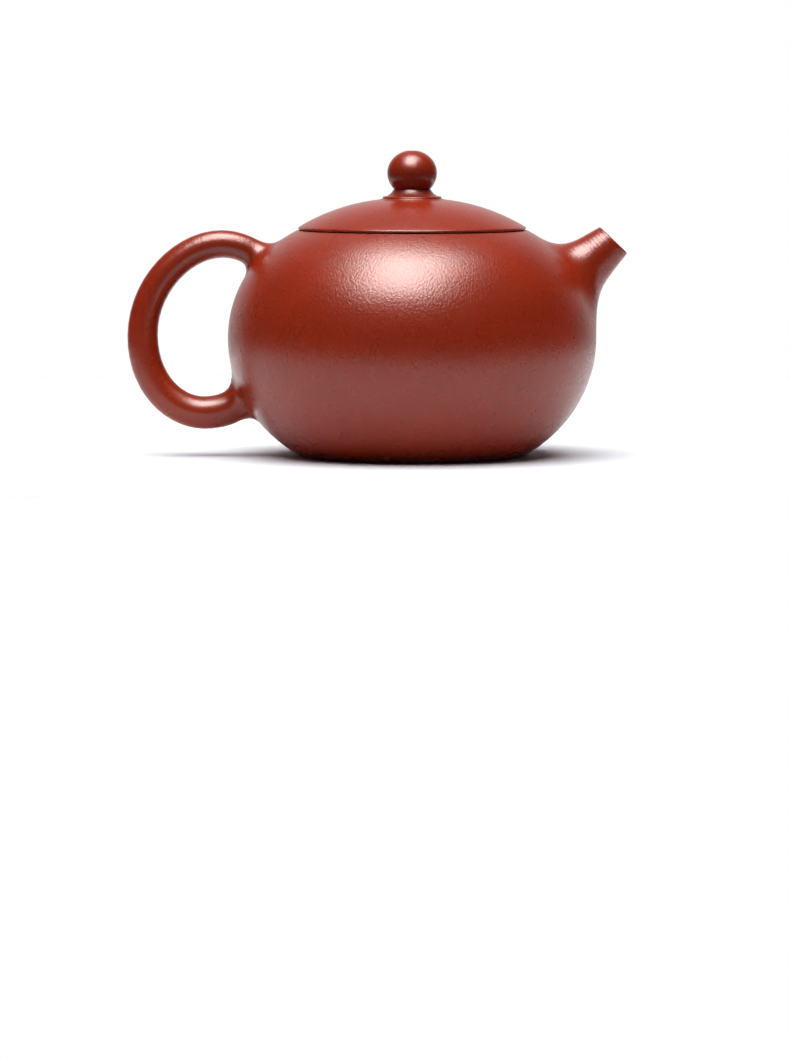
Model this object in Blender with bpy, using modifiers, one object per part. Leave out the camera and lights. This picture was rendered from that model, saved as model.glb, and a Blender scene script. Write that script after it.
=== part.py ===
"""Round clay teapot with a short spout, a looped handle and a domed lid that lifts off.

Units are metres and +Z is up. The pot stands on Z = 0 with its spout towards +X and its
handle towards -X. Its turning axis stands at X = AXIS_X, which puts the origin under the
middle of the whole pot's length. Everything is made in the pot's own upright axis first:
the empty "pot" carries the body's pieces and the empty "lid", at the mouth, the lid's.
Where two pieces of clay are luted together, a thin gap keeps their solids apart.
"""

import math

import bmesh
import bpy
from mathutils import Matrix, Vector

MM = 0.001
GAP = 0.3 * MM
MERGE = 0.01 * MM
ROUND_STEPS = 48
SMALL_STEPS = 24

# Body, an oval that is a little fuller towards the shoulder and squarer than an ellipse
AXIS_X = 9.25 * MM
BELLY_RADIUS = 47.9 * MM
BELLY_MIDDLE = 29.2 * MM
BELLY_REACH = 36.15 * MM
SHOULDER_FULLNESS = 0.034
SQUARENESS = 0.0874
WALL = 2.6 * MM

# Mouth
RIM_HEIGHT = 58.7 * MM
MOUTH_RADIUS = 26.3 * MM
MOUTH_LIP_THICKNESS = 1.2 * MM
MOUTH_LIP_DEPTH = 4.0 * MM
MOUTH_SLAB = 1.4 * MM

# Base
BASE_THICKNESS = 2.9 * MM
FOOT_EDGE = 1.2 * MM
FOOT_RADIUS = 27.5 * MM
DISH_RADIUS = 19.5 * MM
DISH_DEPTH = 1.0 * MM

# Spout, along a slight arc that levels out from its root to its mouth
SPOUT_MOUTH = (52.2 * MM, 55.6 * MM)
SPOUT_MOUTH_TILT = math.radians(46.3)
SPOUT_TIP_ANGLE = math.radians(39.5)
SPOUT_BEND = math.radians(0.32) / MM
SPOUT_LENGTH = 14.0 * MM
SPOUT_ROOT = 17.5 * MM
SPOUT_ROOT_RADIUS = 9.0 * MM
SPOUT_TIP_RADIUS = 4.9 * MM
SPOUT_TAPER = 0.188
SPOUT_FLARE = 2.6 * MM
SPOUT_FLARE_POWER = 3.3
BORE_TIP_RADIUS = 3.55 * MM
BORE_TAPER = 0.2
BORE_END = 24.0 * MM

# Strainer, a pierced dome behind the spout's root
STRAINER_RADIUS = 8.4 * MM
STRAINER_WALL = 1.2 * MM
STRAINER_PLACE = 16.0 * MM
STRAINER_SKIRT = 5.0 * MM
STRAINER_HOLE = 0.9 * MM
STRAINER_RINGS = ((0.0, 1), (27.0, 6), (54.0, 12))

# Handle, each point as X, Z, heading in degrees, reach back, reach ahead and thickness radius
HANDLE_POINTS = (
    (-36.6, 48.7, 115.0, 2.0, 1.6, 4.4),
    (-49.4, 55.2, 180.0, 6.4, 10.7, 3.6),
    (-70.3, 31.35, 270.0, 13.0, 13.5, 3.9),
    (-54.4, 11.25, 360.0, 6.8, 9.4, 4.25),
    (-41.3, 17.0, 375.0, 2.0, 2.0, 5.2),
)

# Lid, with heights counted from the rim
LID_RADIUS = 29.6 * MM
DOME_CENTRE = (2.7 * MM, -44.9 * MM)
DOME_RADIUS = 53.1 * MM
DOME_EDGE = 29.07 * MM
LID_THICKNESS = 2.6 * MM
FLANGE_RADIUS = 26.0 * MM
FLANGE_FOOT_RADIUS = 24.9 * MM
FLANGE_INNER_RADIUS = 22.5 * MM
FLANGE_DEPTH = 12.5 * MM
FLANGE_EDGE = 0.7 * MM

# Knob and its seat
SEAT_RADIUS = 7.6 * MM
SEAT_BOTTOM = 7.9 * MM
SEAT_EDGE_TOP = 8.3 * MM
SEAT_TOP = 10.5 * MM
SEAT_NECK_RADIUS = 5.0 * MM
KNOB_RADIUS = 6.45 * MM
KNOB_HEIGHT = 15.0 * MM
KNOB_CROWN = 5.85 * MM
KNOB_UNDERSIDE = 6.2 * MM
VENT_RADIUS = 1.2 * MM


def clear_scene():
    for obj in list(bpy.data.objects):
        bpy.data.objects.remove(obj, do_unlink=True)


def collection(name):
    group = bpy.data.collections.new(name)
    bpy.context.scene.collection.children.link(group)
    return group


def clay(name, colour, roughness):
    """Unglazed clay: a plain dielectric whose polish sets the roughness."""
    material = bpy.data.materials.new(name)
    material.use_nodes = True
    shader = material.node_tree.nodes["Principled BSDF"]
    shader.inputs["Base Color"].default_value = (*colour, 1.0)
    shader.inputs["Roughness"].default_value = roughness
    shader.inputs["Metallic"].default_value = 0.0
    return material


def burnished_clay(piece):
    return clay(f"{piece}_burnished_clay", (0.30, 0.055, 0.028), 0.42)


def raw_clay(piece):
    return clay(f"{piece}_raw_clay", (0.36, 0.085, 0.05), 0.6)


def hide_as_cutter(obj, cutters):
    obj.hide_render = True
    obj.display_type = "WIRE"
    cutters.objects.link(obj)


def finish_piece(obj, parent, parts, material):
    """Puts a finished solid under its empty, in its collection and with its clay."""
    obj.parent = parent
    parts.objects.link(obj)
    obj.data.materials.clear()
    obj.data.materials.append(material)


def turned(name, outline, steps, closed=True):
    """A turned solid about its own Z axis; the outline runs down its outer side."""
    mesh = bpy.data.meshes.new(name)
    last = len(outline) - 1
    edges = [(i, i + 1) for i in range(last)]
    if closed:
        edges.append((last, 0))
    mesh.from_pydata([(radius, 0.0, height) for radius, height in outline], edges, [])
    obj = bpy.data.objects.new(name, mesh)
    screw = obj.modifiers.new("turn", "SCREW")
    screw.steps = steps
    screw.render_steps = steps
    screw.use_merge_vertices = True
    screw.merge_threshold = MERGE
    screw.use_smooth_shade = True
    return obj


def cut(obj, cutter):
    boolean = obj.modifiers.new(f"cut_{cutter.name}", "BOOLEAN")
    boolean.operation = "DIFFERENCE"
    boolean.object = cutter
    return boolean


def tube(name, spline_type, points, radii, resolution):
    """A round bar through the points, as a curve that still has to become a mesh."""
    curve = bpy.data.curves.new(name, "CURVE")
    curve.dimensions = "3D"
    curve.bevel_depth = 1.0
    curve.bevel_resolution = resolution
    curve.use_fill_caps = True
    spline = curve.splines.new(spline_type)
    places = spline.bezier_points if spline_type == "BEZIER" else spline.points
    places.add(len(points) - 1)
    for place, point, radius in zip(places, points, radii):
        place.co = point if spline_type == "BEZIER" else (*point, 1.0)
        place.radius = radius
    return bpy.data.objects.new(name, curve)


def curve_to_solid(curve_object, name):
    """The curve's solid as a mesh object with its caps welded on."""
    bpy.context.scene.collection.objects.link(curve_object)
    graph = bpy.context.evaluated_depsgraph_get()
    mesh = bpy.data.meshes.new_from_object(curve_object.evaluated_get(graph), depsgraph=graph)
    solid = bpy.data.objects.new(name, mesh)
    solid.matrix_world = curve_object.matrix_world.copy()
    bpy.data.objects.remove(curve_object, do_unlink=True)
    work = bmesh.new()
    work.from_mesh(mesh)
    bmesh.ops.remove_doubles(work, verts=work.verts, dist=MERGE)
    bmesh.ops.recalc_face_normals(work, faces=work.faces)
    work.to_mesh(mesh)
    work.free()
    mesh.shade_smooth()
    mesh.set_sharp_from_angle(angle=math.radians(50.0))
    return solid


def belly_outline(top, bottom, steps, inset=0.0):
    """Points of radius and height down the body's side; an inset shrinks the oval all round."""
    reach = BELLY_REACH - inset
    first, last = [math.asin((height - BELLY_MIDDLE) / reach) for height in (top, bottom)]
    points = []
    for i in range(steps + 1):
        angle = first + (last - first) * i / steps
        rise = math.sin(angle)
        swell = 1.0 + SHOULDER_FULLNESS * rise + SQUARENESS * rise**2
        radius = (BELLY_RADIUS - inset) * math.cos(angle) * swell
        points.append((radius, BELLY_MIDDLE + reach * rise))
    return points


def body_envelope(cutters):
    """The space that the whole body takes with a gap around it, to trim what stands on it."""
    side = belly_outline(RIM_HEIGHT, 0.0, 24, -GAP)
    outline = [(0.0, RIM_HEIGHT), *side, (0.0, 0.0)]
    envelope = turned("body_envelope", outline, ROUND_STEPS, closed=False)
    hide_as_cutter(envelope, cutters)
    return envelope


def body_wall(bore):
    """The belly's shell, open under the mouth ring and over the base, pierced for the spout."""
    top = RIM_HEIGHT - MOUTH_SLAB - GAP
    bottom = BASE_THICKNESS + GAP
    outside = belly_outline(top, bottom, 14)
    inside = belly_outline(top, bottom, 11, WALL)
    wall = turned("body_wall", outside + inside[::-1], ROUND_STEPS)
    cut(wall, bore)
    return wall


def mouth_ring():
    """The flat rim that the lid rests on, with a lip that hangs down inside the mouth."""
    lip_radius = MOUTH_RADIUS + MOUTH_LIP_THICKNESS
    slab_bottom = RIM_HEIGHT - MOUTH_SLAB
    lip_bottom = RIM_HEIGHT - MOUTH_LIP_DEPTH
    outline = [(MOUTH_RADIUS, RIM_HEIGHT)]
    outline += belly_outline(RIM_HEIGHT, slab_bottom, 2)
    outline += [(lip_radius, slab_bottom), (lip_radius, lip_bottom), (MOUTH_RADIUS, lip_bottom)]
    return turned("mouth_ring", outline, ROUND_STEPS)


def base_disc():
    """The floor, with a rounded foot edge and a shallow dish pressed into its underside."""
    side = belly_outline(BASE_THICKNESS, FOOT_EDGE, 2)
    edge_radius = side[-1][0]
    corner_radius = (edge_radius + FOOT_RADIUS) / 2.0
    outline = [(0.0, BASE_THICKNESS), *side]
    for i in range(1, 4):
        t = i / 3.0
        radius = edge_radius * (1 - t) ** 2 + 2 * corner_radius * t * (1 - t) + FOOT_RADIUS * t**2
        outline.append((radius, FOOT_EDGE * (1 - t) ** 2))
    for i in range(5):
        share = 1.0 - i / 4.0
        outline.append((DISH_RADIUS * share, DISH_DEPTH * (1.0 - share**2)))
    return turned("base_disc", outline, ROUND_STEPS, closed=False)


def spout_place(distance):
    """A point on the spout's centre line, counted back from its mouth, and the line's angle."""
    angle = SPOUT_TIP_ANGLE + SPOUT_BEND * distance
    chord_angle = SPOUT_TIP_ANGLE + SPOUT_BEND * distance / 2.0
    x = SPOUT_MOUTH[0] - distance * math.cos(chord_angle)
    z = SPOUT_MOUTH[1] - distance * math.sin(chord_angle)
    return Vector((x, 0.0, z)), angle


def spout_radius(distance):
    flare = SPOUT_FLARE * (max(distance, 0.0) / SPOUT_LENGTH) ** SPOUT_FLARE_POWER
    return SPOUT_TIP_RADIUS + SPOUT_TAPER * distance + flare


def spout_bore(cutters):
    """The channel through the spout and the body's wall."""
    distances = [-6.0 * MM, 0.0, SPOUT_LENGTH / 2.0, SPOUT_LENGTH, BORE_END]
    points = [spout_place(distance)[0] for distance in distances]
    radii = [BORE_TIP_RADIUS + BORE_TAPER * min(max(d, 0.0), SPOUT_LENGTH) for d in distances]
    bore = curve_to_solid(tube("bore_path", "POLY", points, radii, 6), "spout_bore")
    hide_as_cutter(bore, cutters)
    return bore


def spout_end(cutters):
    """A block whose face is the plane of the spout's mouth."""
    size = 30.0 * MM
    work = bmesh.new()
    bmesh.ops.create_cube(work, size=size)
    mesh = bpy.data.meshes.new("spout_end")
    work.to_mesh(mesh)
    work.free()
    block = bpy.data.objects.new("spout_end", mesh)
    out = Vector((math.cos(SPOUT_MOUTH_TILT), 0.0, math.sin(SPOUT_MOUTH_TILT)))
    mouth = Vector((SPOUT_MOUTH[0], 0.0, SPOUT_MOUTH[1]))
    block.matrix_world = Matrix.Translation(mouth + out * size / 2.0) @ Matrix.Rotation(
        -SPOUT_MOUTH_TILT, 4, "Y"
    )
    hide_as_cutter(block, cutters)
    return block


def spout(envelope, bore, end):
    """A short tube that narrows to its mouth and flares where it meets the belly."""
    count = 8
    distances = [SPOUT_LENGTH * i / count for i in range(-1, count + 1)]
    points = [spout_place(distance)[0] for distance in distances]
    radii = [spout_radius(distance) for distance in distances]
    points.append(spout_place(SPOUT_ROOT)[0])
    radii.append(SPOUT_ROOT_RADIUS)
    piece = curve_to_solid(tube("spout_path", "POLY", points, radii, 8), "spout")
    cut(piece, end)
    cut(piece, envelope)
    cut(piece, bore)
    return piece


def cavity(cutters):
    """The space inside the body's wall with a gap around it, to trim the strainer to."""
    top = RIM_HEIGHT - MOUTH_LIP_DEPTH
    side = belly_outline(top, BASE_THICKNESS + GAP, 20, WALL + GAP)
    outline = [(0.0, top), *side, (0.0, BASE_THICKNESS + GAP)]
    space = turned("cavity", outline, ROUND_STEPS, closed=False)
    hide_as_cutter(space, cutters)
    return space


def strainer_holes(place, cutters):
    """Pins through the strainer's dome, in rings about its middle."""
    work = bmesh.new()
    for tilt, count in STRAINER_RINGS:
        for i in range(count):
            turn = Matrix.Rotation(2.0 * math.pi * i / count, 4, "Z")
            lean = Matrix.Rotation(math.radians(tilt), 4, "Y")
            out = Matrix.Translation((0.0, 0.0, STRAINER_RADIUS - STRAINER_WALL / 2.0))
            bmesh.ops.create_cone(
                work,
                cap_ends=True,
                segments=8,
                radius1=STRAINER_HOLE,
                radius2=STRAINER_HOLE,
                depth=3.0 * STRAINER_WALL,
                matrix=turn @ lean @ out,
            )
    mesh = bpy.data.meshes.new("strainer_holes")
    work.to_mesh(mesh)
    work.free()
    pins = bpy.data.objects.new("strainer_holes", mesh)
    pins.matrix_world = place
    hide_as_cutter(pins, cutters)
    return pins


def strainer(space, cutters):
    """A pierced dome inside the wall behind the spout, pointing into the pot."""
    outer = []
    inner = []
    inner_radius = STRAINER_RADIUS - STRAINER_WALL
    for i in range(7):
        angle = math.radians(90.0 * i / 6.0)
        outer.append((STRAINER_RADIUS * math.sin(angle), STRAINER_RADIUS * math.cos(angle)))
        inner.append((inner_radius * math.sin(angle), inner_radius * math.cos(angle)))
    outer.append((STRAINER_RADIUS, -STRAINER_SKIRT))
    inner.append((inner_radius, -STRAINER_SKIRT))
    dome = turned("strainer", outer + inner[::-1], SMALL_STEPS, closed=False)
    centre, angle = spout_place(STRAINER_PLACE)
    place = Matrix.Translation(centre) @ Matrix.Rotation(-angle - math.pi / 2.0, 4, "Y")
    dome.matrix_world = place
    pins = strainer_holes(place, cutters)
    trim = cut(dome, space)
    trim.operation = "INTERSECT"
    cut(dome, pins)
    return dome


def handle(envelope):
    """A round bar bent into a loop, thicker towards its lower root."""
    points = [Vector((x * MM, 0.0, z * MM)) for x, z, *_ in HANDLE_POINTS]
    radii = [values[5] * MM for values in HANDLE_POINTS]
    path = tube("handle_path", "BEZIER", points, radii, 5)
    path.data.resolution_u = 7
    anchors = path.data.splines[0].bezier_points
    for anchor, (_, _, heading, back, ahead, _) in zip(anchors, HANDLE_POINTS):
        angle = math.radians(heading)
        way = Vector((math.cos(angle), 0.0, math.sin(angle)))
        anchor.handle_left_type = "FREE"
        anchor.handle_right_type = "FREE"
        anchor.handle_left = anchor.co - way * back * MM
        anchor.handle_right = anchor.co + way * ahead * MM
    piece = curve_to_solid(path, "handle")
    cut(piece, envelope)
    return piece


def dome_height(radius):
    return DOME_CENTRE[1] + math.sqrt(DOME_RADIUS**2 - (radius - DOME_CENTRE[0]) ** 2)


def lid_plate():
    """The domed plate, with a flat spot for the knob's seat and a thin rounded edge."""
    spot_radius = SEAT_RADIUS + GAP
    spot_height = SEAT_BOTTOM - GAP
    outline = [(VENT_RADIUS, spot_height), (spot_radius, spot_height)]
    for i in range(8):
        radius = spot_radius + (DOME_EDGE - spot_radius) * i / 7.0
        outline.append((radius, dome_height(radius)))
    outline.append((LID_RADIUS, (dome_height(DOME_EDGE) + GAP) / 2.0))
    outline.append((DOME_EDGE, GAP))
    outline.append((FLANGE_INNER_RADIUS, GAP))
    for i in range(6):
        radius = VENT_RADIUS + (FLANGE_INNER_RADIUS - MM - VENT_RADIUS) * (1.0 - i / 5.0)
        outline.append((radius, dome_height(radius) - LID_THICKNESS))
    return turned("lid_plate", outline, ROUND_STEPS)


def lid_flange():
    """The deep ring that locates the lid in the mouth, drawn in slightly towards its foot."""
    outline = [(FLANGE_INNER_RADIUS, 0.0)]
    draw_in = FLANGE_RADIUS - FLANGE_FOOT_RADIUS
    straight = FLANGE_DEPTH - FLANGE_EDGE
    for i in range(6):
        share = i / 5.0
        radius = FLANGE_FOOT_RADIUS + draw_in * (1.0 + math.cos(math.pi * share)) / 2.0
        outline.append((radius, -straight * share))
    outline.append((FLANGE_FOOT_RADIUS - FLANGE_EDGE, -FLANGE_DEPTH))
    outline.append((FLANGE_INNER_RADIUS, -FLANGE_DEPTH))
    return turned("lid_flange", outline, ROUND_STEPS)


def knob_seat():
    """A small flared pedestal between the lid and the knob."""
    outline = [(VENT_RADIUS, SEAT_TOP)]
    sweep = SEAT_RADIUS - GAP - SEAT_NECK_RADIUS
    drop = SEAT_TOP - SEAT_EDGE_TOP
    for i in range(6):
        angle = math.radians(90.0 * i / 5.0)
        radius = SEAT_NECK_RADIUS + sweep * (1.0 - math.cos(angle))
        outline.append((radius, SEAT_TOP - drop * math.sin(angle)))
    outline.append((SEAT_RADIUS, (SEAT_EDGE_TOP + SEAT_BOTTOM) / 2.0))
    outline.append((SEAT_RADIUS, SEAT_BOTTOM))
    outline.append((VENT_RADIUS, SEAT_BOTTOM))
    return turned("knob_seat", outline, SMALL_STEPS)


def knob():
    """A slightly flattened ball, cut flat where it sits and drilled for the steam vent."""
    bottom = SEAT_TOP + GAP
    first = math.asin(VENT_RADIUS / KNOB_RADIUS)
    last = math.acos((bottom - KNOB_HEIGHT) / KNOB_UNDERSIDE)
    outline = []
    for i in range(12):
        angle = first + (last - first) * i / 11.0
        reach = KNOB_CROWN if angle < math.pi / 2.0 else KNOB_UNDERSIDE
        outline.append((KNOB_RADIUS * math.sin(angle), KNOB_HEIGHT + reach * math.cos(angle)))
    outline.append((VENT_RADIUS, bottom))
    return turned("knob", outline, SMALL_STEPS)


def upright(name, x, z, parts):
    """An empty that stands on the pot's turning axis."""
    empty = bpy.data.objects.new(name, None)
    empty.location = (x, 0.0, z)
    empty.empty_display_size = 20.0 * MM
    parts.objects.link(empty)
    return empty


def main():
    clear_scene()
    parts = collection("yixing_clay_teapot")
    cutters = collection("cutters")
    pot = upright("pot", AXIS_X, 0.0, parts)
    lid = upright("lid", AXIS_X, RIM_HEIGHT, parts)

    envelope = body_envelope(cutters)
    space = cavity(cutters)
    bore = spout_bore(cutters)
    end = spout_end(cutters)

    finish_piece(body_wall(bore), pot, parts, burnished_clay("body_wall"))
    finish_piece(mouth_ring(), pot, parts, raw_clay("mouth_ring"))
    finish_piece(base_disc(), pot, parts, burnished_clay("base_disc"))
    finish_piece(spout(envelope, bore, end), pot, parts, burnished_clay("spout"))
    finish_piece(strainer(space, cutters), pot, parts, raw_clay("strainer"))
    finish_piece(handle(envelope), pot, parts, burnished_clay("handle"))
    finish_piece(lid_plate(), lid, parts, burnished_clay("lid_plate"))
    finish_piece(lid_flange(), lid, parts, burnished_clay("lid_flange"))
    finish_piece(knob_seat(), lid, parts, burnished_clay("knob_seat"))
    finish_piece(knob(), lid, parts, burnished_clay("knob"))
    for cutter in cutters.objects:
        cutter.parent = pot


main()
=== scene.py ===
"""Looks of the round clay teapot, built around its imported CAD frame.

Lengths are metres and angles are radians unless a name says otherwise. Each piece is modelled about
the pot's own upright axis and then placed: the pot's pieces stand on Z = 0, and the lid's pieces
count their heights from the rim. The belly, the spout and the handle are distances to a surface,
and where two of them meet, a rounded blend between the distances makes the smoothed joining clay.
"""

import math

import bmesh
import bpy
import numpy as np
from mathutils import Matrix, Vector


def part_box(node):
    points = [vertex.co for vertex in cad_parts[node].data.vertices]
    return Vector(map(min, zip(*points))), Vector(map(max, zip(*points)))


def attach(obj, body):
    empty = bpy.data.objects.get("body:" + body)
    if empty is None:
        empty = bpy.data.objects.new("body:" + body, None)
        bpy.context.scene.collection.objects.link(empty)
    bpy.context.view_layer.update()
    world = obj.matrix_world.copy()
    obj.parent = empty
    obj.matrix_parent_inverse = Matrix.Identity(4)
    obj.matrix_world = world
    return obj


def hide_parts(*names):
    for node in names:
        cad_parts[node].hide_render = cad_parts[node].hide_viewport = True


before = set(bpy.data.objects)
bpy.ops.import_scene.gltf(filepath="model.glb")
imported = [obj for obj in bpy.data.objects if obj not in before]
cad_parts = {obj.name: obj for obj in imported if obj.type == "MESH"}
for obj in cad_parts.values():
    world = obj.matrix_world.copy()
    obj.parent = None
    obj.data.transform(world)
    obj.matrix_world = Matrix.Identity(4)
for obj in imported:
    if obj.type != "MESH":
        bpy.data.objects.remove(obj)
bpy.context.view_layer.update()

MM = 0.001
COLUMNS = 256
SMALL_COLUMNS = 96
SHARP_ANGLE = math.radians(40.0)
ARC_STEPS = 6
EDGE_STEP = 0.04

# Places and sizes that the frame gives
PLATE_LOW, PLATE_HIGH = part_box("lid_plate")
BELLY_LOW, BELLY_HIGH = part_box("body_wall")
SPOUT_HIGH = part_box("spout")[1]
FLANGE_LOW, FLANGE_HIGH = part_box("lid_flange")
SEAT_LOW, SEAT_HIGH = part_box("knob_seat")
KNOB_LOW, KNOB_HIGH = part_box("knob")
AXIS_X = (PLATE_LOW.x + PLATE_HIGH.x) / 2.0
RIM_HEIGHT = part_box("mouth_ring")[1].z
BELLY_RADIUS = (BELLY_HIGH.y - BELLY_LOW.y) / 2.0
LID_RADIUS = (PLATE_HIGH.x - PLATE_LOW.x) / 2.0
FLANGE_RADIUS = (FLANGE_HIGH.x - FLANGE_LOW.x) / 2.0
FLANGE_DEPTH = FLANGE_HIGH.z - FLANGE_LOW.z
SEAT_RADIUS = (SEAT_HIGH.x - SEAT_LOW.x) / 2.0
KNOB_RADIUS = (KNOB_HIGH.y - KNOB_LOW.y) / 2.0

# Body
BELLY_MIDDLE = 29.2 * MM
BELLY_REACH = 36.15 * MM
SHOULDER_FULLNESS = 0.034
SQUARENESS = 0.0874
WALL = 2.6 * MM
WALL_MIDDLE = WALL / 2.0
FLOOR_FILLET = 3.5 * MM

# Mouth ring and base disc; each meets the wall in one shared circle
RING_JOINT = RIM_HEIGHT - 1.55 * MM
BASE_JOINT = 3.05 * MM
MOUTH_RADIUS = 26.3 * MM
MOUTH_LIP_THICKNESS = 1.2 * MM
MOUTH_LIP_DEPTH = 4.0 * MM
BASE_THICKNESS = 2.9 * MM
FOOT_EDGE = 1.2 * MM
FOOT_RADIUS = 27.5 * MM
DISH_RADIUS = 19.5 * MM
DISH_DEPTH = 1.0 * MM

# Joining clay: how far from both surfaces it reaches, and how its skirt dips under the belly
SPOUT_FILLET = 6.4 * MM
UPPER_FILLET = 3.9 * MM
LOWER_FILLET = 4.3 * MM
SKIRT_DIP = 0.05 * MM
DIP_START = 0.97
SKIRT_END = 1.15
SETTLING_STEPS = 4
FIRST_GUESS = 0.9
SLOPE_LIMITS = (0.35, 1.1)
ROOT_ROWS = 12

# Spout, along an arc that levels out from its root to its mouth
SPOUT_TILT = math.radians(46.3)
SPOUT_TIP_ANGLE = math.radians(39.2)
SPOUT_BEND = math.radians(0.36) / MM
SPOUT_TIP_RADIUS = 4.8 * MM
SPOUT_EXTRA = 0.5 * MM
SPOUT_TAPER = 0.2
SPOUT_LIP = 0.65 * MM
SPOUT_STRAIGHT = 8.0 * MM
SPOUT_DEEP = 34.0 * MM
BORE_TIP_RADIUS = 3.55 * MM
BORE_TAPER = 0.2
BORE_STRAIGHT = 14.0 * MM
BORE_GAP = 0.15 * MM
BORE_CUT = (10.0 * MM, 24.0 * MM)
ROOT_TILT = math.tan(math.radians(14.0))
SKIRT_TILT = 0.5
SKIRT_CROWDING = 1.3
SKIRT_LENGTH = 6.5 * MM
SKIRT_NEAR = 6.5 * MM
SKIRT_WIDENING = 14.5 * MM
LIP_ROUNDNESS = 2.4
SPOUT_ROWS = 120

# Strainer, its rings of holes each as a tilt in degrees and a count
STRAINER_PLACE = 16.0 * MM
STRAINER_RADIUS = 8.4 * MM
STRAINER_WALL = 1.2 * MM
STRAINER_HOLE = 0.9 * MM
STRAINER_RINGS = ((0.0, 1), (27.0, 6), (54.0, 12))

# Handle, each point as X and Z in millimetres, a heading in degrees, and its reach back and ahead
HANDLE_POINTS = (
    (-37.2, 49.6, 119.7, 0.0, 1.4),
    (-49.4, 55.2, 180.0, 6.25, 10.2),
    (-70.2, 31.25, 270.0, 13.1, 12.6),
    (-54.15, 11.25, 360.0, 7.8, 8.9),
    (-41.3, 18.0, 396.0, 1.6, 0.0),
)
HANDLE_TOP_RADIUS = 3.44 * MM
HANDLE_FOOT_RADIUS = 4.42 * MM
HANDLE_OVERRUN = 11.0 * MM
HANDLE_ROOT = 13.0 * MM
HANDLE_SPACING = 0.4 * MM
HANDLE_ROWS = 420

# Lid, with heights counted from the rim
SEAM = 0.3 * MM
DOME_CENTRE = (2.7 * MM, -43.50 * MM)
DOME_RADIUS = 51.89 * MM
LID_THICKNESS = 2.6 * MM
FLANGE_FOOT_RADIUS = 24.9 * MM
FLANGE_INNER_RADIUS = 22.5 * MM
FLANGE_EDGE = 0.7 * MM
SEAT_BEAD_TOP = 8.88 * MM
SEAT_CREASE = (7.0 * MM, 8.8 * MM)
SEAT_BEND = (5.5 * MM, 9.35 * MM)
SEAT_NECK = (4.85 * MM, 10.65 * MM)
SEAT_FOOT = 0.75 * MM
KNOB_HEIGHT = 15.0 * MM
KNOB_CROWN = 5.85 * MM
KNOB_UNDERSIDE = 6.2 * MM
VENT_RADIUS = 1.1 * MM

# Clay, with scales in waves per metre; the crepe is drawn out in Z and fades over two heights
BURNISHED_COLOUR = (0.250, 0.0180, 0.0030)
BURNISHED_ROUGHNESS = 0.28
RAW_COLOUR = (0.40, 0.11, 0.065)
RAW_ROUGHNESS = 0.62
RAW_EDGE = (0.35 * MM, 0.1 * MM)
WARM_GLOSS = (1.0, 0.99, 0.94, 1.0)
CLOUD_SCALE = 90.0
CLOUD_CONTRAST = 0.05
SPECK_SCALE = 4200.0
SPECK_STOPS = [(0.28, (0.97, 0.965, 0.965)), (0.4, (1.0, 1.0, 1.0))]
POLISH_SCALE = 260.0
POLISH_SPREAD = 0.015
CREPE_SCALE = 1900.0
CREPE_STRETCH = 0.65
CREPE_DEPTH = 0.12 * MM
CREPE_FADE = (4.0 * MM, 26.0 * MM)
CREPE_LEAST = 0.12
GRAIN_SCALE = 5200.0
GRAIN_DEPTH = 0.02 * MM
NOISE_MIDDLE = (0.3, 0.7)

# How strong the crepe and the grain are on each kind of clay
BODY_SKIN = (0.8, 0.2)
BAR_SKIN = (0.45, 0.2)
LID_SKIN = (0.5, 0.8)
RIM_SKIN = (0.8, 0.25)
INNER_SKIN = (0.3, 0.5)

# Picture
VIEW_CENTRE = (4.8 * MM, -19.5 * MM)
VIEW_HEIGHT = 276.0 * MM
CAMERA_DISTANCE = 1.5
CAMERA_HEIGHT = 0.107

# Board under the pot
BOARD_RADIUS = 0.26
BOARD_SHIFT = 0.11
BOARD_THICKNESS = 0.1 * MM
BOARD_INSET = 5.0 * MM
BOARD_COLOUR = (0.69, 0.71, 0.74, 1.0)
BOARD_ROUGHNESS = 0.8

# Light, each softbox as a name, azimuth and elevation in degrees, distance, size and radiance
SOFTBOXES = (
    ("softbox_edge", -13.0, 73.0, 1.0, (0.80, 1.08), 7.5),
    ("softbox_middle", -14.0, 71.0, 0.99, (0.56, 0.75), 11.0),
)
CEILING_WIDTH = math.radians(68.0)
CEILING_ENERGY = 5.6
CEILING_TURN = (math.radians(6.0), math.radians(-3.0), 0.0)
ROOM_TONE = (0.035, 0.037, 0.05)
WALL_TONE = (0.8, 0.8, 0.8)
WALL_REACH = (0.55, 1.0)
WHITE = (1.0, 1.0, 1.0, 1.0)


# ---------------------------------------------------------------- distances to the clay's surface


def belly_radius(height):
    share = np.clip((height - BELLY_MIDDLE) / BELLY_REACH, -0.999, 0.999)
    swell = 1.0 + SHOULDER_FULLNESS * share + SQUARENESS * share**2
    return BELLY_RADIUS * np.sqrt(1.0 - share**2) * swell


def belly_slope(height):
    step = 0.01 * MM
    return (belly_radius(height + step) - belly_radius(height - step)) / (2.0 * step)


def belly_field(points):
    """Signed distance to the belly's outside, negative inside the pot."""
    slope = belly_slope(points[..., 2])
    out = np.hypot(points[..., 0], points[..., 1]) - belly_radius(points[..., 2])
    return out / np.hypot(1.0, slope)


def belly_normal(points):
    slope = belly_slope(points[..., 2])
    out = np.hypot(points[..., 0], points[..., 1])
    length = np.hypot(1.0, slope)
    x = points[..., 0] / out / length
    y = points[..., 1] / out / length
    return np.stack([x, y, -slope / length], axis=-1)


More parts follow.
